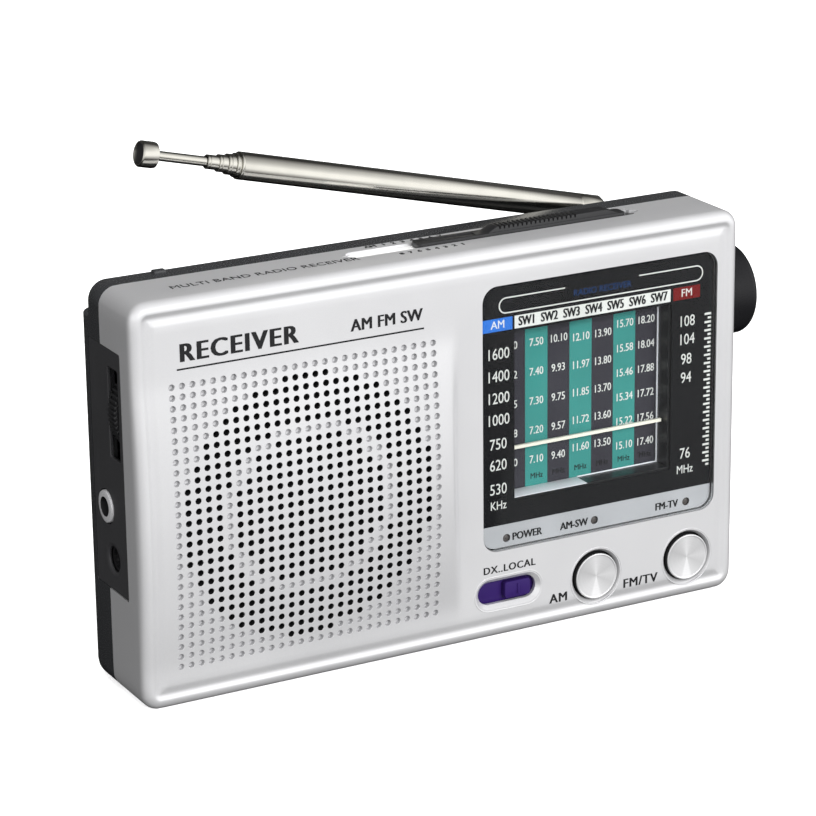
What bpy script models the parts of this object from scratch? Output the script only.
"""Pocket shortwave receiver: case, dial drive, controls, speaker, board, batteries and antenna.

Frame: origin at the middle of the case's bottom, +X right, +Y to the back, +Z up.
The dimensions below are in millimetres, and the helpers turn them into metres.
"""
import math

import bmesh
import bpy
from mathutils import Matrix, Vector

MM = 0.001

# Case
WIDTH = 122.0
HEIGHT = 74.0
FRONT_Y = -12.0
BACK_Y = 12.0
SEAM_Y = 1.0
SEAM_GAP = 0.3
WALL = 1.6
CORNER_R = 3.4
FRONT_EDGE_R = 1.8
BACK_EDGE_R = 3.2
GAP = 0.3

# Crown of the grille side, and the step where it meets the flat dial side
CROWN_MID_Z = 33.1
CROWN_HALF_Z = 25.5
CROWN_AT_GRILLE = 1.41
CROWN_GROWTH = 0.0142
STEP_LEFT_X = 1.0
STEP_RIGHT_X = 3.4
STEP_ARC = 1.6

# Rebate for the folded antenna
REBATE_Y = 5.6
REBATE_Z = 67.6

# Speaker
SPEAKER_X = -27.6
SPEAKER_Z = 33.1
SPEAKER_R = 27.3

# Dial window and the sunk scale
WINDOW_LEFT, WINDOW_RIGHT = 6.94, 56.14
WINDOW_BOTTOM, WINDOW_TOP = 17.0, 66.75
VIEW_LEFT, VIEW_RIGHT = 13.3, 46.8
VIEW_BOTTOM, VIEW_TOP = 26.1, 58.1
SCALE_Y = -6.9
STRIP_LED_Z = 18.7
LED_XS = {"led_power": 12.1, "led_am": 30.8, "led_fm": 50.8}

# Tuning drive: everything that carries the cord shares the plane CORD_Y
KNOB_Z = 55.2
KNOB_R = 8.6
KNOB_END_X = 68.2
CORD_Y = -5.4
CORD_R = 0.25
WINDLASS_X = 50.2
PULLEY_R = 2.0
DRUM_R = 9.5
DRUM_X, DRUM_Z = 18.0, 54.0
RUN_LEFT_X = DRUM_X - DRUM_R
RUN_RIGHT_X = WINDLASS_X - 0.2
LOWER_PULLEY_Z = 16.6
UPPER_PULLEY_Z = DRUM_Z + DRUM_R - PULLEY_R
POINTER_Z = 34.9
CLAMP_DROP = 7.1
CLAMP_HALF = 0.8
RAIL_X = 6.9

# Front controls
BUTTON_Z = 8.1
BUTTON_XS = {"am": 30.6, "fm": 50.5}
BUTTON_R = 4.4
BUTTON_WELL_R = 5.1
DX_LEFT, DX_RIGHT, DX_Z, DX_HEIGHT = 5.9, 18.0, 8.7, 4.4

# Top control
BAND_SLOT_LEFT, BAND_SLOT_RIGHT = -15.5, 43.0
BAND_SLOT_Y, BAND_SLOT_WIDTH = -3.1, 3.8
BAND_SLIDER_LEFT, BAND_SLIDER_RIGHT = -1.9, 41.0

# Left side
PANEL_FRONT_Y, PANEL_BACK_Y = -6.9, 6.3
PANEL_BOTTOM, PANEL_TOP = 19.4, 64.0
WHEEL_X, WHEEL_Y, WHEEL_Z, WHEEL_R = -52.6, -3.5, 52.5, 8.9
SLOT_BOTTOM, SLOT_TOP = 44.3, 60.8
EARPHONE_Y, EARPHONE_Z = 1.4, 34.4
DC_Y, DC_Z = -1.0, 25.3

# Batteries
BATTERY_R = 7.1
BATTERY_LENGTH = 50.2
BATTERY_Y = 3.5
BATTERY_ZS = (12.0, 26.8)
BAY_LEFT, BAY_RIGHT = -0.5, 52.0
BAY_BOTTOM, BAY_TOP = 4.5, 34.3
BAY_FRONT_Y = -3.8
DOOR_Y = 11.1
DOOR_BOTTOM, DOOR_TOP = 4.0, 34.8
DOOR_LEFT, DOOR_RIGHT = -1.7, 53.2

# Fasteners
SCREW_PLACES = ((-56.0, 65.4), (-56.0, 5.4), (57.2, 4.6), (57.2, 65.0))

# Antenna, in the plane ANTENNA_Y, tilted up from the pivot
PIVOT_X, ANTENNA_Y, PIVOT_Z = 48.3, 10.8, 70.2
ANTENNA_TILT = math.radians(13.7)
KNUCKLE_OUT = 5.0
MAIN_TUBE_END = 80.2
TUBES = (  # outer radius, end's distance from the pivot
    ("antenna_tube_1", 2.5, MAIN_TUBE_END),
    ("antenna_tube_2", 2.175, 81.0),
    ("antenna_tube_3", 1.875, 82.5),
    ("antenna_tube_4", 1.575, 84.2),
    ("antenna_tube_5", 1.3, 86.4),
)
TUBE_WALL = 0.18
BOSS_R, BOSS_END = 1.9, 11.4
TUBE_START = 12.0
ROD_R = 0.9
CAP_R, CAP_START, CAP_END = 2.35, 96.2, 99.5


def clear_scene():
    for ob in list(bpy.data.objects):
        bpy.data.objects.remove(ob, do_unlink=True)


def new_collection(name):
    collection = bpy.data.collections.new(name)
    bpy.context.scene.collection.children.link(collection)
    return collection


def material(name, color, roughness, metallic=0.0, alpha=1.0):
    mat = bpy.data.materials.new(name)
    mat.use_nodes = True
    shader = mat.node_tree.nodes["Principled BSDF"]
    shader.inputs["Base Color"].default_value = (*color, 1.0)
    shader.inputs["Roughness"].default_value = roughness
    shader.inputs["Metallic"].default_value = metallic
    shader.inputs["Alpha"].default_value = alpha
    return mat


clear_scene()
PARTS = new_collection("shortwave_receiver")
CUTTERS = new_collection("cutters")

SILVER = material("silver_paint", (0.62, 0.62, 0.63), 0.38, 0.35)
DARK = material("dark_shell", (0.035, 0.036, 0.038), 0.25)
BLACK = material("black_plastic", (0.012, 0.012, 0.013), 0.3)
CLEAR = material("clear_window", (0.9, 0.92, 0.93), 0.05, alpha=0.3)
PRINT = material("window_print", (0.015, 0.015, 0.016), 0.2)
SCALE = material("dial_scale", (0.07, 0.33, 0.3), 0.5)
CREAM = material("pointer_cream", (0.83, 0.8, 0.68), 0.4)
SPUN = material("spun_metal", (0.75, 0.75, 0.75), 0.2, 1.0)
PURPLE = material("purple_plastic", (0.06, 0.03, 0.17), 0.4)
CHROME = material("antenna_chrome", (0.72, 0.71, 0.68), 0.12, 1.0)
STEEL = material("plain_steel", (0.55, 0.55, 0.56), 0.3, 1.0)
BOARD = material("board_green", (0.02, 0.16, 0.06), 0.5)
CREAM_PLASTIC = material("cream_plastic", (0.7, 0.67, 0.58), 0.45)
PAPER = material("speaker_paper", (0.03, 0.03, 0.03), 0.8)
FERRITE = material("ferrite", (0.045, 0.04, 0.04), 0.5)
COPPER = material("copper_wire", (0.45, 0.16, 0.06), 0.35, 1.0)
LED = material("led_lens", (0.3, 0.02, 0.02), 0.2)
JACKET = material("battery_jacket", (0.05, 0.12, 0.3), 0.35)
CORD = material("cord_fibre", (0.75, 0.72, 0.62), 0.7)


def finish(name, bm, mat, origin=(0, 0, 0), collection=None):
    """Turn a bmesh in millimetres, built in the part's frame, into an object whose origin is ORIGIN."""
    bm.transform(Matrix.Translation(-Vector(origin)))
    bm.transform(Matrix.Scale(MM, 4))
    mesh = bpy.data.meshes.new(name)
    bm.to_mesh(mesh)
    bm.free()
    ob = bpy.data.objects.new(name, mesh)
    ob.location = Vector(origin) * MM
    (collection or PARTS).objects.link(ob)
    if mat:
        mesh.materials.append(mat)
    if collection is CUTTERS:
        ob.hide_render = True
        ob.display_type = "WIRE"
    return ob


def block_mesh(low, high):
    bm = bmesh.new()
    bmesh.ops.create_cube(bm, size=1.0)
    size = [b - a for a, b in zip(low, high)]
    middle = [(a + b) / 2 for a, b in zip(low, high)]
    bmesh.ops.scale(bm, vec=size, verts=bm.verts)
    bmesh.ops.translate(bm, vec=middle, verts=bm.verts)
    return bm


def block(name, low, high, mat, origin=(0, 0, 0), bevel=0.0, collection=None):
    bm = block_mesh(low, high)
    if bevel:
        bmesh.ops.bevel(bm, geom=list(bm.edges), offset=bevel, segments=2, profile=0.5, affect="EDGES")
    return finish(name, bm, mat, origin, collection)


def along(axis):
    """Rotation that turns +Z to the given axis."""
    return Vector((0, 0, 1)).rotation_difference(Vector(axis)).to_matrix().to_4x4()


def rod(name, start, axis, length, radius, mat, origin=(0, 0, 0), sides=24, collection=None, top=None):
    bm = bmesh.new()
    end_radius = radius if top is None else top
    bmesh.ops.create_cone(
        bm, cap_ends=True, segments=sides, radius1=radius, radius2=end_radius, depth=length)
    bmesh.ops.translate(bm, vec=(0, 0, length / 2), verts=bm.verts)
    bm.transform(Matrix.Translation(start) @ along(axis))
    return finish(name, bm, mat, origin, collection)


def turned(name, profile, place, axis, mat, sides=32, closed=False, collection=None):
    """Profile of (radius, height) points, outer side from top to bottom, turned about the object's own Z."""
    bm = bmesh.new()
    verts = [bm.verts.new((r, 0, h)) for r, h in profile]
    for a, b in zip(verts, verts[1:]):
        bm.edges.new((a, b))
    if closed:
        bm.edges.new((verts[-1], verts[0]))
    ob = finish(name, bm, mat, (0, 0, 0), collection)
    ob.location = Vector(place) * MM
    ob.rotation_mode = "QUATERNION"
    ob.rotation_quaternion = Vector((0, 0, 1)).rotation_difference(Vector(axis))
    screw = ob.modifiers.new("turn", "SCREW")
    screw.axis = "Z"
    screw.steps = screw.render_steps = sides
    screw.use_merge_vertices = True
    screw.merge_threshold = 0.00001
    screw.use_smooth_shade = True
    return ob


def boolean(ob, other, operation="DIFFERENCE"):
    mod = ob.modifiers.new(operation.lower(), "BOOLEAN")
    mod.operation = operation
    mod.solver = "EXACT"
    mod.object = other
    return ob


def cut_block(ob, low, high, bevel=0.0):
    return boolean(ob, block("cut_" + ob.name, low, high, None, bevel=bevel, collection=CUTTERS))


def cut_rod(ob, start, axis, length, radius, sides=24, top=None):
    cutter = rod("cut_" + ob.name, start, axis, length, radius, None, sides=sides,
                 collection=CUTTERS, top=top)
    return boolean(ob, cutter)


def add_block(ob, low, high):
    return boolean(ob, block("add_" + ob.name, low, high, None, collection=CUTTERS), "UNION")


def add_rod(ob, start, axis, length, radius, sides=16):
    extra = rod("add_" + ob.name, start, axis, length, radius, None, sides=sides, collection=CUTTERS)
    return boolean(ob, extra, "UNION")


def long_edges(bm, axis, place=None):
    """Edges that run along an axis, or with PLACE those of the loop lying at that height on the axis."""
    found = []
    for edge in bm.edges:
        a, b = edge.verts[0].co, edge.verts[1].co
        if place is None:
            if abs((a - b).normalized()[axis]) > 0.99:
                found.append(edge)
        elif abs(a[axis] - place) < 0.01 and abs(b[axis] - place) < 0.01:
            found.append(edge)
    return found


def crown(x, z):
    """How far the grille side bulges forward of the flat dial side."""
    v = (z - CROWN_MID_Z) / CROWN_HALF_Z
    fall = 1.0 - v * v
    amount = CROWN_AT_GRILLE + CROWN_GROWTH * (x - SPEAKER_X)
    return amount * 0.5 * (fall + math.sqrt(fall * fall + 0.02))


def step_bow(z):
    """The step between the two sides bows to the left at mid height."""
    v = (z - HEIGHT / 2) / (HEIGHT / 2)
    return -STEP_ARC * (1.0 - v * v)


# ---------------------------------------------------------------- case

def front_form(name, inset, collection=None, mat=None):
    """Outer or inner form of the front shell: a rounded box whose grille side is crowned."""
    half = WIDTH / 2 - inset
    front = FRONT_Y + inset
    bm = block_mesh((-half, front, inset), (half, SEAM_Y + (2.0 if inset else 0.0), HEIGHT - inset))
    bmesh.ops.bevel(bm, geom=long_edges(bm, 1), offset=CORNER_R - inset, segments=4, profile=0.5,
                    affect="EDGES")
    bmesh.ops.bevel(bm, geom=long_edges(bm, 1, front), offset=max(FRONT_EDGE_R - inset, 0.5), segments=2,
                    profile=0.5, affect="EDGES")
    cuts = [((0, 0, z), (0, 0, 1)) for z in (8, 14, 20, 26.5, 33, 39.5, 46, 52, 58, 66)]
    cuts += [((x, 0, 0), (1, 0, 0)) for x in (-54, -30, -12, STEP_LEFT_X, STEP_RIGHT_X)]
    for place, normal in cuts:
        geometry = list(bm.verts) + list(bm.edges) + list(bm.faces)
        bmesh.ops.bisect_plane(bm, geom=geometry, plane_co=place, plane_no=normal)
    for v in bm.verts:
        weight = min(max((-v.co.y - 8.0) / (-front - 8.0), 0.0), 1.0)
        x, z = v.co.x, v.co.z
        if x < STEP_RIGHT_X - 0.01:
            v.co.y -= crown(x, z) * weight
        if STEP_LEFT_X - 0.01 < x < STEP_RIGHT_X + 0.01:
            v.co.x += step_bow(z) * weight
    return finish(name, bm, mat, collection=collection)


def front_shell():
    ob = front_form("front_shell", 0.0, mat=SILVER)
    boolean(ob, front_form("cut_front_hollow", WALL, CUTTERS))
    for x, z in SCREW_PLACES:
        add_rod(ob, (x, FRONT_Y + 1.0, z), (0, 1, 0), SEAM_Y - FRONT_Y - 1.2, 2.5)
        cut_rod(ob, (x, FRONT_Y + 4.0, z), (0, 1, 0), 20, 1.15, sides=12)
    # Window, buttons and sensitivity slider
    cut_block(ob, (WINDOW_LEFT - GAP, FRONT_Y - 1, WINDOW_BOTTOM - GAP),
              (WINDOW_RIGHT + GAP, FRONT_Y + 3, WINDOW_TOP + GAP))
    for x in BUTTON_XS.values():
        # Bore for the button, with a 45 degree chamfer that is BUTTON_WELL_R wide at the face
        bore = BUTTON_R + GAP
        profile = ((0.0, 12.5), (BUTTON_WELL_R + 0.5, 12.5), (bore, 12.0 - BUTTON_WELL_R + bore),
                   (bore, 9.0), (0.0, 9.0))
        boolean(ob, turned("cut_button", profile, (x, 0, BUTTON_Z), (0, -1, 0), None, sides=24,
                           collection=CUTTERS))
    racetrack(ob, FRONT_Y - 1, FRONT_Y + 3)
    # Band slider: a shallow tray with a slot for the stem
    cut_block(ob, (BAND_SLOT_LEFT, BAND_SLOT_Y - BAND_SLOT_WIDTH / 2, HEIGHT - 0.8),
              (BAND_SLOT_RIGHT, BAND_SLOT_Y + BAND_SLOT_WIDTH / 2, HEIGHT + 1))
    cut_block(ob, (-3.0, BAND_SLOT_Y - 0.8, HEIGHT - 3), (38.0, BAND_SLOT_Y + 0.8, HEIGHT))
    side_openings(ob)
    # Saddle that carries the tuning shaft inside the right wall
    add_block(ob, (54.0, -3.6, KNOB_Z - 3.2), (60.0, SEAM_Y - 0.2, KNOB_Z + 3.2))
    cut_rod(ob, (50, 0, KNOB_Z), (1, 0, 0), 20, 1.7, sides=16)
    return ob


def racetrack(ob, y0, y1):
    """Slot with round ends for the sensitivity slider."""
    radius = DX_HEIGHT / 2
    cut_block(ob, (DX_LEFT + radius, y0, DX_Z - radius), (DX_RIGHT - radius, y1, DX_Z + radius))
    for x in (DX_LEFT + radius, DX_RIGHT - radius):
        cut_rod(ob, (x, y0, DX_Z), (0, 1, 0), y1 - y0, radius, sides=20)


def side_openings(ob):
    """What both shells lose on the left side: the panel's recess and the openings behind it."""
    left = -WIDTH / 2
    cut_block(ob, (left - 1, PANEL_FRONT_Y - GAP, PANEL_BOTTOM - GAP),
              (left + 0.95, PANEL_BACK_Y + GAP, PANEL_TOP + GAP))
    cut_rod(ob, (left - 1, EARPHONE_Y, EARPHONE_Z), (1, 0, 0), 5, 3.4, sides=20)
    cut_rod(ob, (left - 1, DC_Y, DC_Z), (1, 0, 0), 5, 3.0, sides=20)
    cut_block(ob, (left - 1, WHEEL_Y - 2.3, SLOT_BOTTOM - 0.5), (left + 4, WHEEL_Y + 2.3, SLOT_TOP + 0.5))


def rear_form(name, inset, collection=None, mat=None):
    """Outer or inner form of the rear shell: a rounded box with the antenna's rebate taken off."""
    half = WIDTH / 2 - inset
    front = SEAM_Y + SEAM_GAP - (2.0 if inset else 0.0)
    back = BACK_Y - inset
    bm = block_mesh((-half, front, inset), (half, back, HEIGHT - inset))
    bmesh.ops.bevel(bm, geom=long_edges(bm, 1), offset=CORNER_R - inset, segments=4, profile=0.5,
                    affect="EDGES")
    bmesh.ops.bevel(bm, geom=long_edges(bm, 1, back), offset=max(BACK_EDGE_R - inset, 0.8), segments=2,
                    profile=0.5, affect="EDGES")
    ob = finish(name, bm, mat, collection=collection)
    cut_block(ob, (-70, REBATE_Y - inset, REBATE_Z - inset), (70, 20, 80))
    return ob


def rear_shell():
    ob = rear_form("rear_shell", 0.0, mat=DARK)
    boolean(ob, rear_form("cut_rear_hollow", WALL - 0.1, CUTTERS))
    bay = block("add_bay", (BAY_LEFT - 1, BAY_FRONT_Y - 0.5, BAY_BOTTOM - 0.9),
                (BAY_RIGHT + 1, BACK_Y - 1.0, BAY_TOP + 1), None, collection=CUTTERS)
    boolean(ob, bay, "UNION")
    for x, z in SCREW_PLACES:
        add_rod(ob, (x, SEAM_Y + SEAM_GAP, z), (0, 1, 0), BACK_Y - SEAM_Y - 1.2, 2.5)
    cut_block(ob, (BAY_LEFT, BAY_FRONT_Y, BAY_BOTTOM), (BAY_RIGHT, BACK_Y + 3, BAY_TOP))
    cut_block(ob, (DOOR_LEFT - GAP, DOOR_Y - GAP, DOOR_BOTTOM - GAP),
              (DOOR_RIGHT + GAP, BACK_Y + 3, DOOR_TOP + GAP))
    for x, z in SCREW_PLACES:
        cut_rod(ob, (x, 0, z), (0, 1, 0), 20, 1.3, sides=12)
        cut_rod(ob, (x, 9.0, z), (0, 1, 0), 10, 2.1, sides=16)
    side_openings(ob)
    cut_rod(ob, (WIDTH / 2 - 4, 0, KNOB_Z), (1, 0, 0), 6, 2.0, sides=16)
    # Screw hole of the antenna, and the small clip at the far end of the rebate
    cut_rod(ob, (PIVOT_X, 3, PIVOT_Z), (0, 1, 0), 8, 1.2, sides=12)
    add_block(ob, (-49.2, REBATE_Y - 1.8, HEIGHT - 0.6), (-46.8, REBATE_Y - 0.1, HEIGHT + 0.5))
    return ob


def side_panel():
    left = -WIDTH / 2
    ob = block("side_panel", (left + 0.05, PANEL_FRONT_Y, PANEL_BOTTOM),
               (left + 0.65, PANEL_BACK_Y, PANEL_TOP), BLACK)
    cut_rod(ob, (left - 1, EARPHONE_Y, EARPHONE_Z), (1, 0, 0), 3, 3.3, sides=24)
    cut_rod(ob, (left - 1, DC_Y, DC_Z), (1, 0, 0), 3, 2.35, sides=20)
    cut_block(ob, (left - 1, WHEEL_Y - 2.1, SLOT_BOTTOM), (left + 2, WHEEL_Y + 2.1, SLOT_TOP))
    return ob


def battery_door():
    """Lid of the battery bay; it swings about its bottom outer edge."""
    hinge = (0, BACK_Y, DOOR_BOTTOM)
    ob = block("battery_door", (DOOR_LEFT, DOOR_Y, DOOR_BOTTOM), (DOOR_RIGHT, BACK_Y, DOOR_TOP), DARK,
               origin=hinge)
    # Finger notch near the latch
    notch_x = (DOOR_LEFT + DOOR_RIGHT) / 2
    cut_rod(ob, (notch_x, BACK_Y + 6.6, DOOR_TOP - 5.0), (0, 0, 1), 3.2, 7.0, sides=32)
    return ob


def case_screws():
    profile = ((0.0, 0.0), (1.8, 0.0), (1.8, -1.2), (0.95, -1.5), (0.95, -14.0), (0.0, -14.6))
    for number, (x, z) in enumerate(SCREW_PLACES, 1):
        turned(f"case_screw_{number}", profile, (x, 10.4, z), (0, 1, 0), STEEL, sides=12)


# ---------------------------------------------------------------- dial and tuning drive

def dial_window():
    bm = block_mesh((WINDOW_LEFT, FRONT_Y, WINDOW_BOTTOM), (WINDOW_RIGHT, FRONT_Y + 0.9, WINDOW_TOP))
    bmesh.ops.bevel(bm, geom=long_edges(bm, 1), offset=2.8, segments=4, profile=0.5, affect="EDGES")
    finish("dial_window", bm, CLEAR)
    bm = block_mesh((WINDOW_LEFT + 0.1, FRONT_Y + 1.0, WINDOW_BOTTOM + 0.1),
                    (WINDOW_RIGHT - 0.1, FRONT_Y + 1.15, WINDOW_TOP - 0.1))
    bmesh.ops.bevel(bm, geom=long_edges(bm, 1), offset=2.8, segments=4, profile=0.5, affect="EDGES")
    mask = finish("window_mask", bm, PRINT)
    cut_block(mask, (VIEW_LEFT, FRONT_Y, VIEW_BOTTOM), (VIEW_RIGHT, FRONT_Y + 3, VIEW_TOP))
    for x in LED_XS.values():
        cut_rod(mask, (x, FRONT_Y, STRIP_LED_Z), (0, 1, 0), 3, 0.6, sides=12)


def dial_frame():
    """Carrier of the scale, the cord's pulleys and the pointer's rail."""
    ob = block("dial_frame", (4.8, -8.1, 13.4), (52.4, -7.2, 66.2), BLACK)
    add_block(ob, (VIEW_LEFT - 0.9, FRONT_Y + 1.5, VIEW_BOTTOM - 0.9),
              (VIEW_RIGHT + 0.9, -7.6, VIEW_TOP + 0.9))
    for x, z in pulley_places():
        add_rod(ob, (x, -7.7, z), (0, 1, 0), 3.15, 0.75, sides=10)
    for z in (13.6, 64.5):
        add_block(ob, (RAIL_X - 1.2, -7.7, z), (RAIL_X + 1.2, CORD_Y + 0.9, z + 1.5))
        cut_rod(ob, (RAIL_X, CORD_Y, z - 0.5), (0, 0, 1), 2.5, 0.62, sides=10)
    cut_block(ob, (VIEW_LEFT, FRONT_Y, VIEW_BOTTOM), (VIEW_RIGHT, 0, VIEW_TOP))
    # The pointer's neck travels in the slot at the left and its arm reaches in through the side wall
    cut_block(ob, (6.4, -9.0, 18.6), (9.7, 0, 49.6))
    cut_block(ob, (11.0, -9.6, VIEW_BOTTOM + 0.5), (VIEW_LEFT + 0.5, -8.0, VIEW_TOP - 0.5))
    return ob


def dial_scale():
    return block("dial_scale", (VIEW_LEFT - 0.7, SCALE_Y, VIEW_BOTTOM - 0.7),
                 (VIEW_RIGHT + 0.7, SCALE_Y + 0.4, VIEW_TOP + 0.7), SCALE)


def dial_pointer():
    """Block that grips the cord, its neck through the frame's slot, and the arm that crosses the scale."""
    clamp_z = POINTER_Z - CLAMP_DROP
    low_z, high_z = clamp_z - CLAMP_HALF, clamp_z + CLAMP_HALF
    ob = block("dial_pointer", (RAIL_X - 0.9, CORD_Y - 1.1, low_z), (9.1, CORD_Y + 0.9, high_z),
               CREAM, origin=(RUN_LEFT_X, CORD_Y, POINTER_Z))
    add_block(ob, (7.0, -8.85, low_z), (9.1, CORD_Y - 0.9, high_z))
    add_block(ob, (7.0, -8.85, low_z + 0.1), (9.0, -8.35, POINTER_Z + 0.3))
    add_block(ob, (7.1, -8.85, POINTER_Z - 0.3), (VIEW_RIGHT - 0.3, -8.35, POINTER_Z + 0.3))
    cut_rod(ob, (RAIL_X, CORD_Y, clamp_z - 4), (0, 0, 1), 8, 0.62, sides=10)
    cut_rod(ob, (RUN_LEFT_X, CORD_Y, clamp_z - 4), (0, 0, 1), 8, CORD_R + 0.1, sides=8)
    return ob


def pulley_places():
    """Centres of the three guide pulleys that steer the cord round its loop."""
    return ((RUN_LEFT_X + PULLEY_R, LOWER_PULLEY_Z),
            (RUN_RIGHT_X - 0.5 - PULLEY_R, LOWER_PULLEY_Z),
            (RUN_RIGHT_X + 0.5 - PULLEY_R, UPPER_PULLEY_Z))


def grooved_wheel(name, radius, bore, place, mat, sides, rim=0.45, half=0.8):
    core = radius - CORD_R - 0.1
    outer = radius + rim
    profile = ((bore, half), (outer, half), (outer, half - 0.25), (core, 0.3), (core, -0.3),
               (outer, 0.25 - half), (outer, -half), (bore, -half))
    return turned(name, profile, place, (0, 1, 0), mat, sides=sides, closed=bore > 0)


def cord_wheels():
    for number, (x, z) in enumerate(pulley_places(), 1):
        grooved_wheel(f"guide_pulley_{number}", PULLEY_R, 0.9, (x, CORD_Y, z), CREAM_PLASTIC, 12)
    drum = grooved_wheel("drive_drum", DRUM_R, 0.0, (DRUM_X, CORD_Y, DRUM_Z), CREAM_PLASTIC, 24)
    add_rod(drum, (DRUM_X, CORD_Y + 0.4, DRUM_Z), (0, 1, 0), 9.4, 1.5)
    rod("pointer_rail", (RAIL_X, CORD_Y, 13.7), (0, 0, 1), 52.0, 0.5, STEEL, sides=10)


def tuning_shaft():
    """Shaft from the knob, with the windlass that the cord takes one turn round."""
    pitch = -CORD_Y
    core = pitch - CORD_R - 0.1
    profile = ((0.0, 66.0), (1.5, 66.0), (1.5, 51.9), (6.0, 51.9), (6.0, 51.5), (core, 51.5),
               (core, 48.9), (6.0, 48.9), (6.0, 48.5), (1.5, 48.5), (1.5, 47.0), (0.0, 47.0))
    return turned("tuning_shaft", profile, (0, 0, KNOB_Z), (1, 0, 0), STEEL, sides=16)


def tuning_knob():
    profile = ((0.0, KNOB_END_X), (KNOB_R - 1.0, KNOB_END_X), (KNOB_R - 0.3, KNOB_END_X - 0.3),
               (KNOB_R, KNOB_END_X - 1.0), (KNOB_R, 62.0), (KNOB_R - 0.4, 61.4), (1.6, 61.4),
               (1.6, 66.3), (0.0, 66.3))
    return turned("tuning_knob", profile, (0, 0, KNOB_Z), (1, 0, 0), BLACK, sides=28)


def tuning_capacitor():
    ob = block("tuning_capacitor", (DRUM_X - 9, 3.6, DRUM_Z - 9), (DRUM_X + 9, 9.6, DRUM_Z + 9),
               CREAM_PLASTIC)
    cut_rod(ob, (DRUM_X, 0, DRUM_Z), (0, 1, 0), 6.5, 1.7, sides=16)
    return ob


def arc(center, radius, start, stop, count):
    """Points round an arc in the XZ plane, angles in degrees from +X towards +Z."""
    points = []
    for i in range(count):
        angle = math.radians(start + (stop - start) * i / (count - 1))
        points.append((center[0] + radius * math.cos(angle), CORD_Y, center[1] + radius * math.sin(angle)))
    return points


def dial_cord():
    """Endless cord: drum, down the pointer's run, two lower pulleys, windlass, upper pulley."""
    lower_left, lower_right, upper = pulley_places()
    route = arc((DRUM_X, DRUM_Z), DRUM_R, 90, 180, 9)
    route += arc(lower_left, PULLEY_R, 180, 270, 4)
    route += arc(lower_right, PULLEY_R, 270, 360, 4)
    turn_steps = 20
    entry_x = lower_right[0] + PULLEY_R
    exit_x = upper[0] + PULLEY_R
    for i in range(turn_steps + 1):
        share = i / turn_steps
        angle = 2 * math.pi * share
        route.append((entry_x + (exit_x - entry_x) * share, CORD_Y * math.cos(angle),
                      KNOB_Z - CORD_Y * math.sin(angle)))
    route += arc(upper, PULLEY_R, 0, 90, 4)
    curve = bpy.data.curves.new("dial_cord", "CURVE")
    curve.dimensions = "3D"
    curve.bevel_depth = CORD_R * MM
    curve.bevel_resolution = 1
    spline = curve.splines.new("POLY")
    spline.points.add(len(route) - 1)
    for point, place in zip(spline.points, route):
        point.co = (*(c * MM for c in place), 1.0)
    spline.use_cyclic_u = True
    curve.materials.append(CORD)
    ob = bpy.data.objects.new("dial_cord", curve)
    PARTS.objects.link(ob)
    return ob


# ---------------------------------------------------------------- controls

def push_buttons():
    for name, x in BUTTON_XS.items():
        profile = ((0.0, 12.05), (2.6, 12.15), (BUTTON_R - 0.3, 12.4), (BUTTON_R, 12.1), (BUTTON_R, 10.0),
                   (BUTTON_R + 0.7, 10.0), (BUTTON_R + 0.7, 9.3), (0.0, 9.3))
        turned(f"{name}_button", profile, (x, 0, BUTTON_Z), (0, -1, 0), SPUN, sides=24)
        body = block(f"{name}_switch", (x - 3, -7.9, BUTTON_Z - 3), (x + 3, -5.7, BUTTON_Z + 3), BLACK)
        add_rod(body, (x, -8.2, BUTTON_Z), (0, 1, 0), 1.0, 1.5, sides=12)


def dx_slider():
    """Purple plate behind the racetrack slot, with its thumb nub at the right."""
    origin = (DX_RIGHT, FRONT_Y, DX_Z)
    ob = block("dx_slider", (5.0, -10.1, DX_Z - 2.7), (23.4, -9.4, DX_Z + 2.7), PURPLE, origin=origin)
    add_block(ob, (11.4, -11.8, DX_Z - 1.6), (16.8, -9.9, DX_Z + 1.6))
    body = block("dx_switch", (8.3, -9.0, DX_Z - 2.6), (18.3, -5.7, DX_Z + 2.6), STEEL)
    return ob, body


def band_slider():
    """Long ribbed slider on the top; the ribs run across it in the middle."""
    low_y = BAND_SLOT_Y - 1.6
    high_y = BAND_SLOT_Y + 1.6
    base_z = HEIGHT - 0.45
    origin = (0, BAND_SLOT_Y, HEIGHT)
    ob = block("band_slider", (BAND_SLIDER_LEFT, low_y, base_z), (BAND_SLIDER_RIGHT, high_y, base_z + 1.0),
               BLACK, origin=origin)
    add_block(ob, (12.0, low_y + 0.2, base_z + 0.8), (BAND_SLIDER_RIGHT - 0.8, high_y - 0.2, HEIGHT + 1.5))
    add_block(ob, (15.0, BAND_SLOT_Y - 0.5, HEIGHT - 3.0), (21.0, BAND_SLOT_Y + 0.5, HEIGHT - 0.2))
    for i in range(12):
        x = 14.6 + 1.3 * i
        cut_block(ob, (x, low_y - 1, HEIGHT + 1.15), (x + 0.55, high_y + 1, HEIGHT + 3))
    return ob


def volume_control():
    profile = ((1.6, 1.4), (WHEEL_R - 0.3, 1.4), (WHEEL_R, 1.1), (WHEEL_R, -1.1), (WHEEL_R - 0.3, -1.4),
               (1.6, -1.4))
    place = (WHEEL_X, WHEEL_Y, WHEEL_Z)
    turned("volume_wheel", profile, place, (0, 1, 0), BLACK, sides=28, closed=True)
    profile = ((0.0, -1.2), (1.5, -1.2), (1.5, 1.9), (6.3, 1.9), (6.3, 8.6), (0.0, 8.6))
    flipped = [(r, -h) for r, h in profile]
    turned("volume_pot", flipped, place, (0, -1, 0), STEEL, sides=16)


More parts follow.
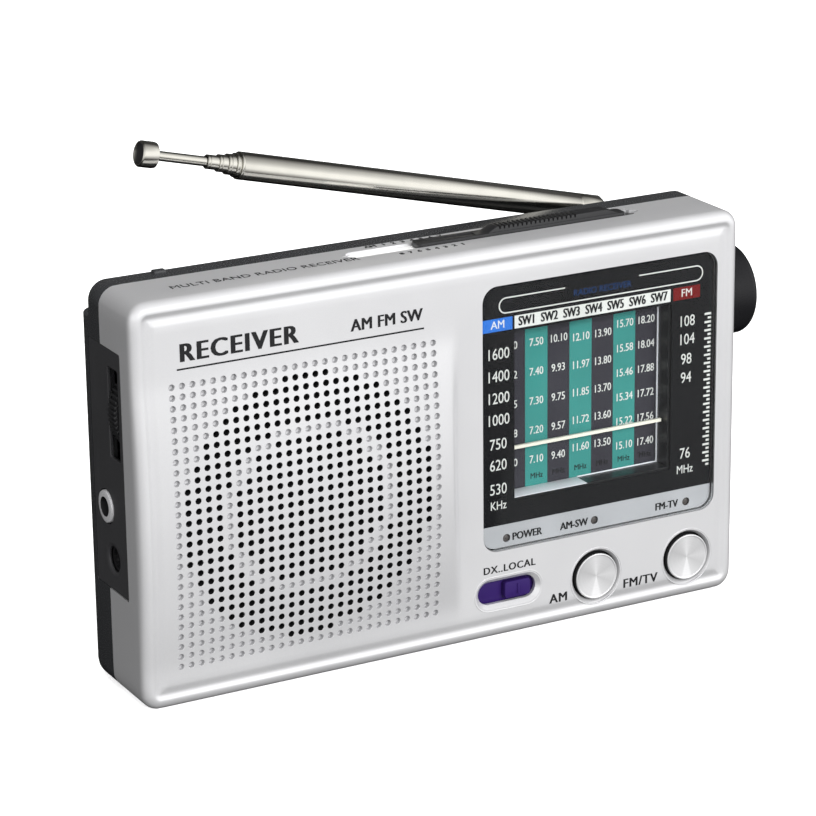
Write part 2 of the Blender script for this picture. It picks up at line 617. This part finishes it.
def sockets():
    left = -WIDTH / 2
    ob = block("earphone_jack", (left + 1.9, EARPHONE_Y - 2.8, EARPHONE_Z - 3.6),
               (left + 12.5, EARPHONE_Y + 4.0, EARPHONE_Z + 3.6), STEEL)
    add_rod(ob, (left - 0.3, EARPHONE_Y, EARPHONE_Z), (1, 0, 0), 3.0, 2.95, sides=24)
    cut_rod(ob, (left - 1, EARPHONE_Y, EARPHONE_Z), (1, 0, 0), 11, 1.8, sides=20)
    ob = block("dc_jack", (left + 1.9, DC_Y - 2.6, DC_Z - 4.0), (left + 12.0, DC_Y + 6.2, DC_Z + 3.6), BLACK)
    add_rod(ob, (left + 0.9, DC_Y, DC_Z), (1, 0, 0), 2.0, 2.6, sides=20)
    cut_rod(ob, (left - 1, DC_Y, DC_Z), (1, 0, 0), 11, 1.9, sides=20)


def leds():
    for name, x in LED_XS.items():
        turned(name, ((0.0, 10.65), (0.9, 10.5), (1.45, 9.9), (1.45, 8.7), (0.0, 8.7)),
               (x, 0, STRIP_LED_Z), (0, -1, 0), LED, sides=16)


# ---------------------------------------------------------------- speaker

def speaker():
    center = (SPEAKER_X, 0, SPEAKER_Z)
    # Heights are distances in front of Y = 0
    basket = ((SPEAKER_R, 9.9), (SPEAKER_R, 9.2), (24.6, 9.0), (12.5, 3.2), (12.5, 2.4), (10.2, 2.4),
              (10.2, 3.9), (12.0, 4.1), (24.2, 9.9))
    turned("speaker_basket", basket, center, (0, -1, 0), STEEL, sides=24, closed=True)
    cone = ((0.0, 4.55), (9.6, 4.55), (22.8, 9.95), (23.9, 10.3), (23.9, 9.95), (22.9, 9.6), (9.6, 4.15),
            (0.0, 4.15))
    turned("speaker_cone", cone, center, (0, -1, 0), PAPER, sides=24)
    magnet = ((0.0, 2.1), (11.0, 2.1), (11.0, -3.2), (0.0, -3.2))
    turned("speaker_magnet", magnet, center, (0, -1, 0), FERRITE, sides=24)


# ---------------------------------------------------------------- boards

def boards():
    main = block("main_board", (2.5, 2.3, 36.6), (46.5, 3.3, 67.0), BOARD)
    cut_rod(main, (DRUM_X, 0, DRUM_Z), (0, 1, 0), 6, 2.2, sides=16)
    block("control_board", (4.0, -5.4, 3.4), (53.6, -4.6, 13.1), BOARD)
    block("band_switch", (-4.0, -6.4, 66.5), (44.0, 1.9, 70.7), STEEL)
    rod("ferrite_rod", (-50.0, 3.4, 62.2), (1, 0, 0), 45.0, 2.6, FERRITE, sides=16)
    turned("ferrite_coil", ((2.75, 14.0), (3.5, 14.0), (3.5, 0.0), (2.75, 0.0)), (-40.0, 3.4, 62.2),
           (1, 0, 0), COPPER, sides=16, closed=True)
    block("if_can", (35.0, 3.6, 57.5), (42.5, 9.8, 65.0), STEEL)
    block("radio_chip", (30.0, 3.6, 43.5), (37.0, 5.4, 54.0), BLACK)
    rod("filter_capacitor", (38.5, 3.6, 40.5), (0, 1, 0), 6.4, 3.0, BLACK, sides=16)


# ---------------------------------------------------------------- batteries

def batteries():
    directions = (1, -1)
    length = BATTERY_LENGTH - 1.4
    for number, (z, way) in enumerate(zip(BATTERY_ZS, directions), 1):
        flat_end_x = BAY_LEFT + 1.8 if way > 0 else BAY_RIGHT - 1.8
        profile = ((0.0, length + 1.0), (2.6, length + 1.0), (2.6, length), (BATTERY_R - 0.4, length),
                   (BATTERY_R, length - 0.4), (BATTERY_R, 0.4), (BATTERY_R - 0.4, 0.0), (0.0, 0.0))
        turned(f"battery_{number}", profile, (flat_end_x, BATTERY_Y, z), (way, 0, 0), JACKET, sides=16)
        spring_x = BAY_LEFT + 0.45 if way > 0 else BAY_RIGHT - 0.45
        contact_spring(f"battery_spring_{number}", (spring_x, BATTERY_Y, z), way)


def contact_spring(name, place, way):
    """Flattened conical coil at the battery's flat end."""
    turns, steps, rise = 2, 10, 0.85
    curve = bpy.data.curves.new(name, "CURVE")
    curve.dimensions = "3D"
    curve.bevel_depth = 0.2 * MM
    curve.bevel_resolution = 1
    curve.use_fill_caps = True
    spline = curve.splines.new("POLY")
    count = turns * steps + 1
    spline.points.add(count - 1)
    for i, point in enumerate(spline.points):
        angle = 2 * math.pi * i / steps
        radius = 4.2 - 0.9 * i / steps
        x = place[0] + way * rise * i / count
        y = place[1] + radius * math.cos(angle)
        z = place[2] + radius * math.sin(angle)
        point.co = (x * MM, y * MM, z * MM, 1.0)
    curve.materials.append(STEEL)
    ob = bpy.data.objects.new(name, curve)
    PARTS.objects.link(ob)
    return ob


# ---------------------------------------------------------------- antenna

def antenna_direction():
    return Vector((-math.cos(ANTENNA_TILT), 0.0, math.sin(ANTENNA_TILT)))


def antenna_point(distance):
    return Vector((PIVOT_X, ANTENNA_Y, PIVOT_Z)) + antenna_direction() * distance


def tilted_block(name, low, high, mat, collection=None):
    """Block in the antenna's own frame: X out along the antenna, Y to the back, Z across it."""
    out = antenna_direction()
    back = Vector((0, 1, 0))
    turn = Matrix((out, back, out.cross(back))).transposed().to_4x4()
    bm = block_mesh(low, high)
    bm.transform(Matrix.Translation((PIVOT_X, ANTENNA_Y, PIVOT_Z)) @ turn)
    return finish(name, bm, mat, collection=collection)


def antenna():
    out = antenna_direction()
    across = Vector((out.z, 0.0, -out.x))
    pivot = Vector((PIVOT_X, ANTENNA_Y, PIVOT_Z))
    knuckle = antenna_point(KNUCKLE_OUT)
    # Swivel: a round boss on the case with a tongue that the fork straddles
    start = REBATE_Y + 0.3
    swivel = rod("antenna_swivel", (PIVOT_X, start, PIVOT_Z), (0, 1, 0), BOSS_END - start, BOSS_R, CHROME,
                 origin=pivot, sides=24)
    tongue = tilted_block("add_tongue", (1.0, -1.6, -0.8), (KNUCKLE_OUT + 1.6, 0.6, 0.8), None, CUTTERS)
    boolean(swivel, tongue, "UNION")
    cut_rod(swivel, (PIVOT_X, 5, PIVOT_Z), (0, 1, 0), 10, 1.15, sides=12)
    cut_rod(swivel, knuckle - across * 4, across, 8, 0.7, sides=12)
    turned("antenna_screw", ((0.0, 12.1), (1.6, 12.1), (1.6, 11.6), (0.95, 11.5), (0.95, 3.5), (0.0, 3.2)),
           (PIVOT_X, 0, PIVOT_Z), (0, 1, 0), STEEL, sides=12)
    rod("antenna_pin", knuckle - across * 2.2, across, 4.4, 0.6, STEEL, origin=knuckle, sides=12)
    # Main tube with its fork
    name, radius, end = TUBES[0]
    profile = tube_profile(radius, end, TUBE_START - 2.0)
    main = turned(name, profile, pivot, out, CHROME, sides=16, closed=True)
    plug = rod("add_plug", antenna_point(KNUCKLE_OUT - 1.7), out, TUBE_START - KNUCKLE_OUT + 0.8, 2.42, None,
               sides=16, collection=CUTTERS)
    boolean(main, plug, "UNION")
    slot = tilted_block("cut_fork", (0.0, -4.0, -0.95), (KNUCKLE_OUT + 2.6, 4.0, 0.95), None, CUTTERS)
    boolean(main, slot)
    cut_rod(main, knuckle - across * 4, across, 8, 0.7, sides=12)
    for name, radius, end in TUBES[1:]:
        turned(name, tube_profile(radius, end, TUBE_START), pivot, out, CHROME, sides=14, closed=True)
    rod_profile = ((0.0, CAP_END), (CAP_R - 0.4, CAP_END), (CAP_R, CAP_END - 0.4), (CAP_R, CAP_START + 0.5),
                   (CAP_R - 0.5, CAP_START), (ROD_R, CAP_START), (ROD_R, TUBE_START + 8.0),
                   (0.0, TUBE_START + 8.0))
    turned("antenna_rod", rod_profile, pivot, out, CHROME, sides=16)


def tube_profile(radius, end, start):
    """Wall of one telescopic tube, with its mouth rolled slightly in."""
    inner = radius - TUBE_WALL
    return ((inner, end), (radius - 0.08, end), (radius, end - 0.5), (radius, start), (inner, start))


def build():
    front_shell()
    rear_shell()
    side_panel()
    battery_door()
    case_screws()
    dial_window()
    dial_frame()
    dial_scale()
    dial_pointer()
    cord_wheels()
    tuning_shaft()
    tuning_knob()
    tuning_capacitor()
    dial_cord()
    push_buttons()
    dx_slider()
    band_slider()
    volume_control()
    sockets()
    leds()
    speaker()
    boards()
    batteries()
    antenna()


build()
